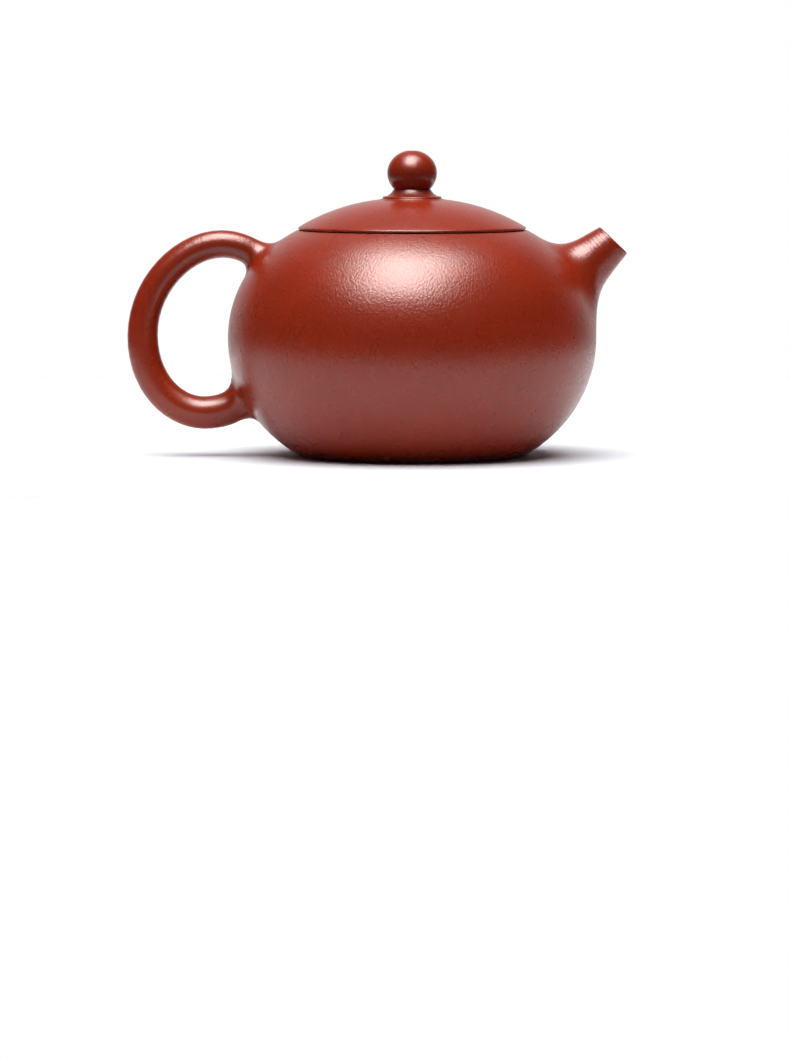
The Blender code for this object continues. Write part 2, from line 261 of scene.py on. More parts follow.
def bar_field(points, line, radii):
    """Signed distance to a round bar along a line of points, with one radius at each."""
    nearest = np.full(points.shape[:-1], np.inf)
    for start, end, first, last in zip(line[:-1], line[1:], radii[:-1], radii[1:]):
        along = end - start
        share = np.clip((points - start) @ along / (along @ along), 0.0, 1.0)
        away = np.linalg.norm(points - start - share[..., None] * along, axis=-1)
        nearest = np.minimum(nearest, away - first - share * (last - first))
    return nearest


def blended(bar, fillet, points):
    """The belly and a bar joined by rounded clay; the belly sinks where its skirt ends."""
    belly = belly_field(points)
    part = bar(points)
    reach = fillet(points)
    away = (part - belly) / reach
    dip = np.clip((away - DIP_START) / (SKIRT_END - DIP_START), 0.0, 1.5)
    belly = belly + SKIRT_DIP * dip**2
    ease = np.maximum(reach - np.abs(belly - part), 0.0) / reach
    return np.minimum(belly, part) - ease**2 * reach / 4.0


def march(field, origins, ways, steps=14):
    """Goes out from points inside the clay until the surface is met, by the secant rule."""
    before = np.zeros(origins.shape[:-1])
    value_before = field(origins)
    travel = -FIRST_GUESS * value_before
    for _ in range(steps):
        value = field(origins + travel[..., None] * ways)
        step = travel - before
        still = np.abs(step) < 1e-9
        slope = (value - value_before) / np.where(still, 1.0, step)
        slope = np.where(still, 1.0, np.clip(slope, *SLOPE_LIMITS))
        before, value_before = travel, value
        travel = travel - value / slope
    return origins + travel[..., None] * ways


def settled(points, depth):
    """Moves points along the belly's normal until they lie at a depth under its surface."""
    for _ in range(SETTLING_STEPS):
        points = points - belly_normal(points) * (belly_field(points) + depth)[..., None]
    return points


# ---------------------------------------------------------------- meshes from rows and outlines


def new_piece(name, vertices, faces, place, material):
    """A mesh object with its faces turned out, shaded smooth except at true corners."""
    mesh = bpy.data.meshes.new(name)
    mesh.from_pydata(vertices.tolist(), [], faces)
    work = bmesh.new()
    work.from_mesh(mesh)
    bmesh.ops.recalc_face_normals(work, faces=work.faces)
    work.to_mesh(mesh)
    work.free()
    mesh.shade_smooth()
    mesh.set_sharp_from_angle(angle=SHARP_ANGLE)
    mesh.materials.append(material)
    piece = bpy.data.objects.new(name, mesh)
    piece.location = place
    bpy.context.scene.collection.objects.link(piece)
    return piece


def grid_piece(name, rows, place, material, ring=False):
    """A closed surface from rows of points around it. A ring joins its last row to its first;
    otherwise the first and the last row close on the middle of their points."""
    count, columns = rows.shape[:2]
    vertices = rows.reshape(-1, 3)
    pairs = [(i, i + 1) for i in range(count - 1)]
    if ring:
        pairs.append((count - 1, 0))
    faces = []
    for upper, lower in pairs:
        for j in range(columns):
            k = (j + 1) % columns
            a, b = upper * columns, lower * columns
            faces.append((a + j, a + k, b + k, b + j))
    if not ring:
        middles = rows[[0, -1]].mean(axis=1)
        for pole, first in ((len(vertices), 0), (len(vertices) + 1, (count - 1) * columns)):
            faces += [(pole, first + j, first + (j + 1) % columns) for j in range(columns)]
        vertices = np.concatenate([vertices, middles])
    return new_piece(name, vertices, faces, place, material)


def turned_rows(outline, columns):
    turns = 2.0 * math.pi * np.arange(columns) / columns
    radii = np.array([radius for radius, _ in outline])[:, None]
    heights = np.array([height for _, height in outline])[:, None]
    flat = np.ones_like(turns)
    return np.stack([radii * np.cos(turns), radii * np.sin(turns), heights * flat], axis=-1)


def rounded(corners):
    """An outline through corners of radius, height and rounding, with arcs at its corners."""
    outline = []
    for i, (x, y, rounding) in enumerate(corners):
        if rounding == 0.0 or i in (0, len(corners) - 1):
            outline.append((x, y))
            continue
        here = Vector((x, y))
        back = Vector(corners[i - 1][:2]) - here
        ahead = Vector(corners[i + 1][:2]) - here
        half = back.angle(ahead) / 2.0
        cut = min(rounding / math.tan(half), 0.49 * back.length, 0.49 * ahead.length)
        radius = cut * math.tan(half)
        middle = here + (back.normalized() + ahead.normalized()).normalized() * (
            radius / math.sin(half)
        )
        first = here + back.normalized() * cut - middle
        last = here + ahead.normalized() * cut - middle
        for k in range(ARC_STEPS + 1):
            way = first.lerp(last, k / ARC_STEPS).normalized() * first.length
            outline.append(tuple(middle + way))
    return outline


def dense(outline, spacing):
    """The same outline with points no further apart than the spacing."""
    points = [outline[0]]
    for (x0, y0), (x1, y1) in zip(outline[:-1], outline[1:]):
        steps = max(1, math.ceil(math.hypot(x1 - x0, y1 - y0) / spacing))
        for k in range(1, steps + 1):
            points.append((x0 + (x1 - x0) * k / steps, y0 + (y1 - y0) * k / steps))
    return points


def belly_outline(top, bottom, steps, inset=0.0):
    """Points down the belly's side; an inset shrinks its oval all round. A short first and last
    step keep the shading of two pieces alike where they meet."""
    reach = BELLY_REACH - inset
    first = math.asin((top - BELLY_MIDDLE) / reach)
    last = math.asin((bottom - BELLY_MIDDLE) / reach)
    points = []
    for i in [0.0, EDGE_STEP, *range(1, steps), steps - EDGE_STEP, steps]:
        angle = first + (last - first) * i / steps
        share = math.sin(angle)
        swell = 1.0 + SHOULDER_FULLNESS * share + SQUARENESS * share**2
        points.append(((BELLY_RADIUS - inset) * math.cos(angle) * swell, BELLY_MIDDLE + reach * share))
    return points


def cut_out(piece, cutter):
    """Takes the cutter out of the piece, for good, and removes it."""
    boolean = piece.modifiers.new("cut", "BOOLEAN")
    boolean.operation = "DIFFERENCE"
    boolean.object = cutter
    graph = bpy.context.evaluated_depsgraph_get()
    whole = piece.data
    piece.data = bpy.data.meshes.new_from_object(piece.evaluated_get(graph), depsgraph=graph)
    piece.modifiers.clear()
    bpy.data.meshes.remove(whole)
    bpy.data.objects.remove(cutter, do_unlink=True)
    piece.data.set_sharp_from_angle(angle=SHARP_ANGLE)


# ---------------------------------------------------------------- sweeps along the spout and handle


def sweep_rays(centres, headings, leans, tilts, columns):
    """Rays out of a centre line in the XZ plane, one row of them around each centre. A lean bends
    a row's rays along the line, and a tilt slants the row's plane."""
    turns = 2.0 * math.pi * np.arange(columns) / columns
    along = np.stack([np.cos(headings), np.zeros_like(headings), np.sin(headings)], axis=-1)
    up = np.stack([-np.sin(headings), np.zeros_like(headings), np.cos(headings)], axis=-1)
    side = np.array([0.0, 1.0, 0.0])
    out = up[:, None] * np.cos(turns)[:, None] + side * np.sin(turns)[:, None]
    slant = leans[:, None] + tilts[:, None] * np.cos(turns)
    ways = out + along[:, None] * slant[..., None]
    origins = np.repeat(centres[:, None], columns, axis=1)
    return origins, ways / np.linalg.norm(ways, axis=-1, keepdims=True), out, along, slant


def resampled(rows, first, last, count):
    """Each column of rows from one fraction of row to another, in even steps of length."""
    steps = np.linalg.norm(np.diff(rows, axis=0), axis=-1)
    length = np.concatenate([np.zeros((1, rows.shape[1])), np.cumsum(steps, axis=0)])
    index = np.arange(len(rows))
    made = np.empty((count, rows.shape[1], 3))
    for j in range(rows.shape[1]):
        start, end = np.interp([first[j], last[j]], index, length[:, j])
        places = np.linspace(start, end, count)
        for k in range(3):
            made[:, j, k] = np.interp(places, length[:, j], rows[:, j, k])
    return made


def skirt_end(rows, bar, fillet, order):
    """The fraction of a row, in each column, at which the joining clay's skirt ends."""
    away = (bar(rows) - belly_field(rows)) / fillet(rows) - SKIRT_END
    ends = np.empty(rows.shape[1])
    for j in range(rows.shape[1]):
        crossings = np.nonzero(np.diff(np.sign(away[order, j])))[0]
        i, k = order[crossings[0]], order[crossings[0] + 1]
        ends[j] = i + (k - i) * away[i, j] / (away[i, j] - away[k, j])
    return ends


def wall_rows(first, last, count):
    """Rows that join two rows inside the thickness of the belly's wall."""
    shares = (np.arange(1, count) / count)[:, None, None]
    return settled(first + (last - first) * shares, WALL_MIDDLE)


# ---------------------------------------------------------------- spout


def spout_centres(distances):
    """Points on the spout's centre line, counted back from its mouth, and its headings."""
    mouth_x = SPOUT_HIGH.x - AXIS_X - SPOUT_TIP_RADIUS * math.sin(SPOUT_TILT)
    mouth_z = SPOUT_HIGH.z - SPOUT_TIP_RADIUS * math.cos(SPOUT_TILT)
    mouth_x += SPOUT_EXTRA * math.cos(SPOUT_TILT)
    mouth_z += SPOUT_EXTRA * math.sin(SPOUT_TILT)
    chords = SPOUT_TIP_ANGLE + SPOUT_BEND * distances / 2.0
    x = mouth_x - distances * np.cos(chords)
    z = mouth_z - distances * np.sin(chords)
    return np.stack([x, np.zeros_like(x), z], axis=-1), SPOUT_TIP_ANGLE + SPOUT_BEND * distances


def spout_bar(points):
    distances = np.arange(-4.0, 25.0, 1.0) * MM
    return bar_field(points, spout_centres(distances)[0], SPOUT_TIP_RADIUS + SPOUT_TAPER * distances)


def spout_fillet(points):
    return np.full(points.shape[:-1], SPOUT_FILLET)


def spout_tilts(distances):
    """The slant of the rows: the mouth's own plane, then square to the line."""
    mouth = -math.tan(SPOUT_TILT - SPOUT_TIP_ANGLE)
    share = np.clip(distances / SPOUT_STRAIGHT, 0.0, 1.0)
    return mouth * (1.0 - share) ** 2 * (1.0 + 2.0 * share)


def bore_radius(distances):
    return BORE_TIP_RADIUS + BORE_TAPER * np.clip(distances, 0.0, BORE_STRAIGHT)


def bore_rows(distances, tilts):
    centres, headings = spout_centres(distances)
    level = np.zeros_like(distances)
    rays = sweep_rays(centres, headings, level, tilts, SMALL_COLUMNS * 2)
    origins, _, out, along, slant = rays
    radii = bore_radius(distances)[:, None, None]
    return origins + radii * (out + along[:, None] * slant[..., None])


def spout_outside():
    """Rows from just behind the lip, down the spout and out over the belly. Past its straight part,
    each row starts deeper in the pot, and leans out to where the skirt should lie."""
    straight = np.linspace(SPOUT_LIP, SPOUT_STRAIGHT, 60)
    share = np.linspace(0.0, 1.0, SPOUT_ROWS + 1)[1:]
    deep = SPOUT_STRAIGHT + (SPOUT_DEEP - SPOUT_STRAIGHT) * share**SKIRT_CROWDING
    met = SPOUT_STRAIGHT + SKIRT_LENGTH * share
    away = SKIRT_NEAR + SKIRT_WIDENING * share
    distances = np.concatenate([straight, deep])
    leans = np.concatenate([np.zeros_like(straight), (deep - met) / away])
    tilts = np.concatenate([spout_tilts(straight), SKIRT_TILT * share])
    centres, headings = spout_centres(distances)
    origins, ways, *_ = sweep_rays(centres, headings, leans, tilts, SMALL_COLUMNS * 2)
    surface = march(lambda points: blended(spout_bar, spout_fillet, points), origins, ways)
    ends = skirt_end(surface, spout_bar, spout_fillet, np.arange(len(surface)))
    return resampled(surface, np.zeros(surface.shape[1]), ends, SPOUT_ROWS)


def spout_lip(outer, inner):
    """Rows over the rounded lip between the last outer and the first inner row."""
    middle = (outer + inner) / 2.0
    half = (outer - inner) / 2.0
    normal = np.array([math.cos(SPOUT_TILT), 0.0, math.sin(SPOUT_TILT)])
    angles = np.linspace(0.0, math.pi, 15)[1:-1]
    squarer = 2.0 / LIP_ROUNDNESS
    across = np.sign(np.cos(angles)) * np.abs(np.cos(angles)) ** squarer
    ahead = np.sin(angles) ** squarer
    rows = middle + half * across[:, None, None]
    return rows + SPOUT_LIP * ahead[:, None, None] * normal


def spout(material):
    outside = spout_outside()
    depths = np.linspace(SPOUT_LIP, SPOUT_DEEP, 200)
    root = np.interp(WALL_MIDDLE, -belly_field(spout_centres(depths)[0]), depths)
    distances = np.linspace(SPOUT_LIP, root, 40)
    share = np.clip((distances - SPOUT_STRAIGHT) / (root - SPOUT_STRAIGHT), 0.0, 1.0)
    inside = bore_rows(distances, spout_tilts(distances) + ROOT_TILT * share**2)
    lip = spout_lip(outside[0], inside[0])
    closing = wall_rows(inside[-1], settled(outside[-1], WALL_MIDDLE), ROOT_ROWS)
    rows = np.concatenate([outside[::-1], lip, inside, closing])
    return grid_piece("pot_spout", rows, (AXIS_X, 0.0, 0.0), material, ring=True)


def bore_cutter():
    """The hole through the belly's wall, a little wider than the spout's own bore."""
    distances = np.linspace(*BORE_CUT, 15)
    centres, headings = spout_centres(distances)
    level = np.zeros_like(distances)
    origins, ways, *_ = sweep_rays(centres, headings, level, level, SMALL_COLUMNS)
    radii = bore_radius(distances)[:, None, None] + BORE_GAP
    return grid_piece("bore", origins + radii * ways, (AXIS_X, 0.0, 0.0), None)


# ---------------------------------------------------------------- handle


def handle_line(steps=14):
    """The handle's centre line: its points, headings and radii, and the length up to each."""
    points = []
    headings = []
    for start, end in zip(HANDLE_POINTS[:-1], HANDLE_POINTS[1:]):
        first = np.array(start[:2]) * MM
        last = np.array(end[:2]) * MM
        leave = math.radians(start[2])
        arrive = math.radians(end[2])
        second = first + start[4] * MM * np.array([math.cos(leave), math.sin(leave)])
        third = last - end[3] * MM * np.array([math.cos(arrive), math.sin(arrive)])
        for k in range(steps):
            t = k / steps
            s = 1.0 - t
            points.append(first * s**3 + second * 3 * s * s * t + third * 3 * s * t * t + last * t**3)
            way = (second - first) * s * s + (third - second) * 2 * s * t + (last - third) * t * t
            headings.append(math.atan2(way[1], way[0]))
    points.append(np.array(HANDLE_POINTS[-1][:2]) * MM)
    headings.append(math.radians(HANDLE_POINTS[-1][2]))
    points = np.array(points)
    line = np.stack([points[:, 0], np.zeros(len(points)), points[:, 1]], axis=-1)
    spans = np.linalg.norm(np.diff(line, axis=0), axis=-1)
    length = np.concatenate([[0.0], np.cumsum(spans)])
    radii = HANDLE_TOP_RADIUS + (HANDLE_FOOT_RADIUS - HANDLE_TOP_RADIUS) * length / length[-1]
    return line, np.unwrap(headings), radii, length


def handle_fillet(points):
    return np.where(points[..., 2] > BELLY_MIDDLE, UPPER_FILLET, LOWER_FILLET)


def handle(material):
    """The bar with its joining clay. The centre line runs on straight into the pot at both ends,
    and there the rays lean back along it, to come out over the belly."""
    line, headings, radii, length = handle_line()
    places = np.arange(-HANDLE_OVERRUN, length[-1] + HANDLE_OVERRUN, HANDLE_SPACING)
    inside = np.clip(places, 0.0, length[-1])
    turn = np.interp(inside, length, headings)
    along = np.stack([np.cos(turn), np.zeros_like(turn), np.sin(turn)], axis=-1)
    centres = np.stack([np.interp(inside, length, line[:, k]) for k in range(3)], axis=-1)
    centres += along * (places - inside)[:, None]
    reach = HANDLE_ROOT + HANDLE_OVERRUN
    start = np.clip((HANDLE_ROOT - places) / reach, 0.0, 1.0)
    end = np.clip((HANDLE_ROOT - (length[-1] - places)) / reach, 0.0, 1.0)
    leans = start**2 * (3.0 - 2.0 * start) - end**2 * (3.0 - 2.0 * end)

    def bar(points):
        return bar_field(points, line, radii)

    origins, ways, *_ = sweep_rays(centres, turn, leans, np.zeros_like(leans), SMALL_COLUMNS)
    surface = march(lambda points: blended(bar, handle_fillet, points), origins, ways)
    middle = len(surface) // 2
    first = skirt_end(surface, bar, handle_fillet, np.arange(middle, -1, -1))
    last = skirt_end(surface, bar, handle_fillet, np.arange(middle, len(surface)))
    surface = resampled(surface, first, last, HANDLE_ROWS)
    top_root = wall_rows(surface[0], surface[0].mean(axis=0), ROOT_ROWS)[::-1]
    lower_root = wall_rows(surface[-1], surface[-1].mean(axis=0), ROOT_ROWS)
    rows = np.concatenate([top_root, surface, lower_root])
    return grid_piece("pot_handle", rows, (AXIS_X, 0.0, 0.0), material)


# ---------------------------------------------------------------- strainer


def strainer_shell(radius):
    """Rows of one side of the dome, from its tip to the middle of the belly's wall."""
    centre, heading = spout_centres(np.array([STRAINER_PLACE]))
    level = np.zeros(1)
    _, _, out, along, _ = sweep_rays(centre, heading, level, level, SMALL_COLUMNS)
    angles = np.linspace(0.02, math.pi / 2.0, 30)[:, None, None]
    dome = centre + radius * (out * np.sin(angles) - along * np.cos(angles))
    ways = np.tile(along, (SMALL_COLUMNS, 1))
    far = march(lambda points: belly_field(points) + WALL_MIDDLE, dome[-1], ways)
    shares = np.linspace(0.0, 1.0, 12)[1:, None, None]
    return np.concatenate([dome, dome[-1] + (far - dome[-1]) * shares])


def strainer_pins():
    """Pins through the dome, in rings about its middle."""
    centre, heading = spout_centres(np.array([STRAINER_PLACE]))
    place = Vector(centre[0])
    back = Vector((-math.cos(heading[0]), 0.0, -math.sin(heading[0])))
    work = bmesh.new()
    for tilt, count in STRAINER_RINGS:
        for i in range(count):
            turn = 2.0 * math.pi * i / count
            lean = math.radians(tilt)
            side = math.sin(lean)
            way = Vector((side * math.cos(turn), side * math.sin(turn), math.cos(lean)))
            way.rotate(Vector((0.0, 0.0, 1.0)).rotation_difference(back))
            matrix = way.to_track_quat("Z", "Y").to_matrix().to_4x4()
            matrix.translation = place + way * (STRAINER_RADIUS - STRAINER_WALL / 2.0)
            bmesh.ops.create_cone(
                work, cap_ends=True, segments=24, radius1=STRAINER_HOLE, radius2=STRAINER_HOLE,
                depth=3.0 * STRAINER_WALL, matrix=matrix,
            )
    mesh = bpy.data.meshes.new("strainer_pins")
    work.to_mesh(mesh)
    work.free()
    pins = bpy.data.objects.new("strainer_pins", mesh)
    pins.location = (AXIS_X, 0.0, 0.0)
    bpy.context.scene.collection.objects.link(pins)
    return pins


def strainer(material):
    outside = strainer_shell(STRAINER_RADIUS)
    inside = strainer_shell(STRAINER_RADIUS - STRAINER_WALL)
    rows = np.concatenate([outside, inside[::-1]])
    piece = grid_piece("pot_strainer", rows, (AXIS_X, 0.0, 0.0), material)
    cut_out(piece, strainer_pins())
    return piece


# ---------------------------------------------------------------- turned pieces of the pot


def body_wall(material):
    outside = belly_outline(RING_JOINT, BASE_JOINT, 110)
    inside = belly_outline(RING_JOINT, BASE_JOINT, 60, WALL)
    foot_radius, foot_height = inside[-1]
    bend = [point for point in inside if point[1] > foot_height + FLOOR_FILLET]
    fillet = rounded([
        (*bend[-1], 0.0),
        (foot_radius + 0.4 * MM, foot_height, FLOOR_FILLET),
        (foot_radius - 2.6 * MM, foot_height, 0.0),
    ])
    outline = outside + (bend + fillet[1:])[::-1]
    wall = grid_piece(
        "pot_body", turned_rows(outline, COLUMNS), (AXIS_X, 0.0, 0.0), material, ring=True
    )
    cut_out(wall, bore_cutter())
    return wall


def mouth_ring(material):
    """The flat rim, its rounded edges and the lip that hangs down inside the mouth."""
    side = belly_outline(RIM_HEIGHT, RING_JOINT, 10)
    lip_radius = MOUTH_RADIUS + MOUTH_LIP_THICKNESS
    lip_bottom = RIM_HEIGHT - MOUTH_LIP_DEPTH
    corners = [
        (side[-1][0] - WALL, RING_JOINT, 0.0),
        (lip_radius, RING_JOINT, 0.0),
        (lip_radius, lip_bottom, 0.35 * MM),
        (MOUTH_RADIUS, lip_bottom, 0.35 * MM),
        (MOUTH_RADIUS, RIM_HEIGHT, 0.3 * MM),
        (side[0][0], RIM_HEIGHT, 0.45 * MM),
        (*side[4], 0.0),
    ]
    outline = dense(rounded(corners) + side[5:], 0.4 * MM)
    return grid_piece(
        "pot_mouth_ring", turned_rows(outline, COLUMNS), (AXIS_X, 0.0, 0.0), material, ring=True
    )


def base_disc(material):
    """The floor, the rounded foot edge and the shallow dish under it."""
    side = belly_outline(BASE_JOINT, FOOT_EDGE, 8)
    edge = side[-1][0]
    corner = (edge + FOOT_RADIUS) / 2.0
    foot = []
    for k in range(1, 13):
        t = k / 12.0
        radius = edge * (1 - t) ** 2 + 2 * corner * t * (1 - t) + FOOT_RADIUS * t**2
        foot.append((radius, FOOT_EDGE * (1 - t) ** 2))
    dish = []
    for k in range(24):
        share = 1.0 - k / 24.0
        dish.append((DISH_RADIUS * share, DISH_DEPTH * (1.0 - share**2)))
    top = [(0.2 * MM, BASE_THICKNESS), (side[0][0] - WALL, BASE_THICKNESS)]
    outline = dense(top + side + foot + dish, 0.8 * MM)
    return grid_piece("pot_base", turned_rows(outline, COLUMNS), (AXIS_X, 0.0, 0.0), material)


# ---------------------------------------------------------------- turned pieces of the lid


def dome_height(radius):
    return DOME_CENTRE[1] + math.sqrt(DOME_RADIUS**2 - (radius - DOME_CENTRE[0]) ** 2)


def dome(first, last, steps, drop=0.0):
    points = []
    for i in range(steps + 1):
        radius = first + (last - first) * i / steps
        points.append((radius, dome_height(radius) - drop))
    return points


def lid_turned(name, outline, material, columns=COLUMNS):
    rows = turned_rows(outline, columns)
    return grid_piece(name, rows, (AXIS_X, 0.0, RIM_HEIGHT), material, ring=True)


def lid_plate(material):
    """The domed plate, its thin rounded edge and the hollow under it."""
    hole = VENT_RADIUS + 0.1 * MM
    shoulder = LID_RADIUS - 0.9 * MM
    top = dome(hole, shoulder, 60)
    hollow = FLANGE_INNER_RADIUS - 0.5 * MM
    corners = [
        (*top[-1], 0.0),
        (LID_RADIUS, dome_height(LID_RADIUS) - 0.03 * MM, 0.4 * MM),
        (LID_RADIUS, SEAM, 0.25 * MM),
        (FLANGE_INNER_RADIUS - 0.1 * MM, SEAM, 0.0),
        (hollow, dome_height(hollow) - LID_THICKNESS, 1.6 * MM),
        (hollow - 3.0 * MM, dome_height(hollow - 3.0 * MM) - LID_THICKNESS, 0.0),
    ]
    under = dome(hollow - 3.5 * MM, hole, 30, LID_THICKNESS)
    outline = top[:-1] + dense(rounded(corners), 0.4 * MM) + under
    return lid_turned("lid_dome", outline, material)


def lid_flange(material):
    """The deep ring under the lid, drawn in slightly towards its rounded foot."""
    draw_in = FLANGE_RADIUS - FLANGE_FOOT_RADIUS
    depth = FLANGE_DEPTH - FLANGE_EDGE
    top = 0.6 * MM
    side = []
    for i in range(25):
        share = i / 24.0
        radius = FLANGE_FOOT_RADIUS + draw_in * (1.0 + math.cos(math.pi * share)) / 2.0
        side.append((radius, -depth * share))
    corners = [
        (*side[-1], 0.0),
        (FLANGE_FOOT_RADIUS, -FLANGE_DEPTH, FLANGE_EDGE),
        (FLANGE_INNER_RADIUS, -FLANGE_DEPTH, 0.8 * MM),
        (FLANGE_INNER_RADIUS, top, 0.0),
    ]
    outline = dense([(FLANGE_RADIUS, top)] + side[:-1] + rounded(corners), 0.5 * MM)
    return lid_turned("lid_flange_ring", outline, material)


def knob_seat(material):
    """The small flared pedestal with a bead around its foot."""
    hole = VENT_RADIUS + 0.05 * MM
    flare = []
    for k in range(17):
        t = k / 16.0
        radius = SEAT_NECK[0] * (1 - t) ** 2 + 2 * SEAT_BEND[0] * t * (1 - t) + SEAT_CREASE[0] * t**2
        height = SEAT_NECK[1] * (1 - t) ** 2 + 2 * SEAT_BEND[1] * t * (1 - t) + SEAT_CREASE[1] * t**2
        flare.append((radius, height))
    foot = SEAT_RADIUS + SEAT_FOOT
    foot_height = dome_height(foot) + 0.02 * MM
    bottom = dome_height(foot) - 0.5 * MM
    corners = [
        (*flare[-1], 0.0),
        (SEAT_CREASE[0] + 0.1 * MM, SEAT_BEAD_TOP, 0.08 * MM),
        (SEAT_RADIUS - 0.02 * MM, SEAT_BEAD_TOP - 0.04 * MM, 0.36 * MM),
        (SEAT_RADIUS + 0.1 * MM, foot_height + 0.22 * MM, 0.25 * MM),
        (foot, foot_height, 0.0),
        (foot, bottom, 0.0),
        (hole, bottom, 0.0),
        (hole, SEAT_NECK[1], 0.0),
    ]
    outline = flare[:-1] + dense(rounded(corners), 0.3 * MM)
    return lid_turned("lid_knob_seat", outline, material, SMALL_COLUMNS * 2)


def knob(material):
    """A slightly flattened ball with a soft-edged steam vent."""
    bottom = SEAT_NECK[1] - 0.35 * MM
    first = math.asin((VENT_RADIUS + 0.45 * MM) / KNOB_RADIUS)
    last = math.acos((bottom - KNOB_HEIGHT) / KNOB_UNDERSIDE)
    ball = []
    for i in range(61):
        angle = first + (last - first) * i / 60.0
        reach = KNOB_CROWN if angle < math.pi / 2.0 else KNOB_UNDERSIDE
        ball.append((KNOB_RADIUS * math.sin(angle), KNOB_HEIGHT + reach * math.cos(angle)))
    top = KNOB_HEIGHT + KNOB_CROWN * math.cos(math.asin(VENT_RADIUS / KNOB_RADIUS))
    rim = rounded([
        (VENT_RADIUS, bottom, 0.0),
        (VENT_RADIUS, top, 0.4 * MM),
        (*ball[0], 0.0),
    ])
    outline = dense(rim[:-1], 0.5 * MM) + ball
    return lid_turned("lid_knob", outline, material, SMALL_COLUMNS * 2)


# ---------------------------------------------------------------- materials


def feed(tree, value, target):
    """Gives a socket its value: another socket's output, or a number or colour."""
    if isinstance(value, bpy.types.NodeSocket):
        tree.links.new(value, target)
    else:
        target.default_value = value


def noise(tree, place, scale, detail, roughness=0.5):
    node = tree.nodes.new("ShaderNodeTexNoise")
    node.inputs["Scale"].default_value = scale
    node.inputs["Detail"].default_value = detail
    node.inputs["Roughness"].default_value = roughness
    feed(tree, place, node.inputs["Vector"])
    return node.outputs["Fac"]


def ramp(tree, value, stops):
    """A colour ramp from stops of place and colour."""
    node = tree.nodes.new("ShaderNodeValToRGB")
    for element, (place, colour) in zip(node.color_ramp.elements, stops):
        element.position = place
        element.color = (*colour, 1.0)
    feed(tree, value, node.inputs["Fac"])
    return node.outputs["Color"]


def carried(tree, value, start, end=(0.0, 1.0)):
    """The value with one range carried over to another, and held inside it."""
    node = tree.nodes.new("ShaderNodeMapRange")
    node.inputs["From Min"].default_value = start[0]
    node.inputs["From Max"].default_value = start[1]
    node.inputs["To Min"].default_value = end[0]
    node.inputs["To Max"].default_value = end[1]
    feed(tree, value, node.inputs["Value"])
    return node.outputs["Result"]


def scaled(tree, place, factors):
    node = tree.nodes.new("ShaderNodeVectorMath")
    node.operation = "MULTIPLY"
    node.inputs[1].default_value = factors
    feed(tree, place, node.inputs[0])
    return node.outputs["Vector"]


def component(tree, place, axis):
    node = tree.nodes.new("ShaderNodeSeparateXYZ")
    feed(tree, place, node.inputs["Vector"])
    return node.outputs[axis]


def bump(tree, height, depth, strength):
    node = tree.nodes.new("ShaderNodeBump")
    node.inputs["Distance"].default_value = depth
    feed(tree, strength, node.inputs["Strength"])
    feed(tree, height, node.inputs["Height"])
    return node


def mixed(tree, kind, factor, first, second, blend="MIX"):
    """Two colours ("RGBA") or two numbers ("FLOAT") mixed by a factor."""
    node = tree.nodes.new("ShaderNodeMix")
    node.data_type = kind
    if kind == "RGBA":
        node.blend_type = blend
    sockets = [socket for socket in node.inputs if socket.enabled]
    for value, socket in zip((factor, first, second), sockets):
        feed(tree, value, socket)
    return next(socket for socket in node.outputs if socket.enabled)


def shaded(colour, factor):
    return tuple(channel * factor for channel in colour)


def clay_colour(tree, place, colour):
    """Soft clouds of tone with fine dark mineral specks."""
    dark = shaded(colour, 1.0 - CLOUD_CONTRAST)
    light = shaded(colour, 1.0 + CLOUD_CONTRAST)
    clouds = noise(tree, place, CLOUD_SCALE, 3.0)
    specks = noise(tree, place, SPECK_SCALE, 1.0)
    tone = ramp(tree, clouds, [(NOISE_MIDDLE[0], dark), (NOISE_MIDDLE[1], light)])
    return mixed(tree, "RGBA", 1.0, tone, ramp(tree, specks, SPECK_STOPS), "MULTIPLY")


def clay_polish(tree, place, gloss):
    """A roughness that wanders a little, as the burnishing strokes do."""
    strokes = noise(tree, place, POLISH_SCALE, 3.0)
    return carried(tree, strokes, NOISE_MIDDLE, (gloss - POLISH_SPREAD, gloss + POLISH_SPREAD))


def clay_skin(tree, place, skin):
    """The crepe that burnishing raises, drawn out up and down, over a finer grain. The crepe fades
    with the height in the piece's own space: away towards the pot's foot, where the clay is
    pressed smooth, and to a little on the lid, whose heights start at the rim."""
    crepe, grain = skin
    strength = carried(tree, component(tree, place, "Z"), CREPE_FADE, (CREPE_LEAST * crepe, crepe))
    drawn = scaled(tree, place, (1.0, 1.0, CREPE_STRETCH))
    coarse = bump(tree, noise(tree, drawn, CREPE_SCALE, 2.0, 0.55), CREPE_DEPTH, strength)
    fine = bump(tree, noise(tree, place, GRAIN_SCALE, 1.0), GRAIN_DEPTH, grain)
    feed(tree, fine.outputs["Normal"], coarse.inputs["Normal"])
    return coarse.outputs["Normal"]


def new_clay(name):
    """A material with its tree, its shader and its place in the piece's own space."""
    material = bpy.data.materials.new(name)
    material.use_nodes = True
    tree = material.node_tree
    shader = tree.nodes["Principled BSDF"]
    shader.inputs["Specular IOR Level"].default_value = 0.5
    shader.inputs["Specular Tint"].default_value = WARM_GLOSS
    place = tree.nodes.new("ShaderNodeTexCoord").outputs["Object"]
    return material, tree, shader, place


def clay(name, colour, gloss, skin):
    material, tree, shader, place = new_clay(name)
    feed(tree, clay_colour(tree, place, colour), shader.inputs["Base Color"])
    feed(tree, clay_polish(tree, place, gloss), shader.inputs["Roughness"])
    feed(tree, clay_skin(tree, place, skin), shader.inputs["Normal"])
    return material


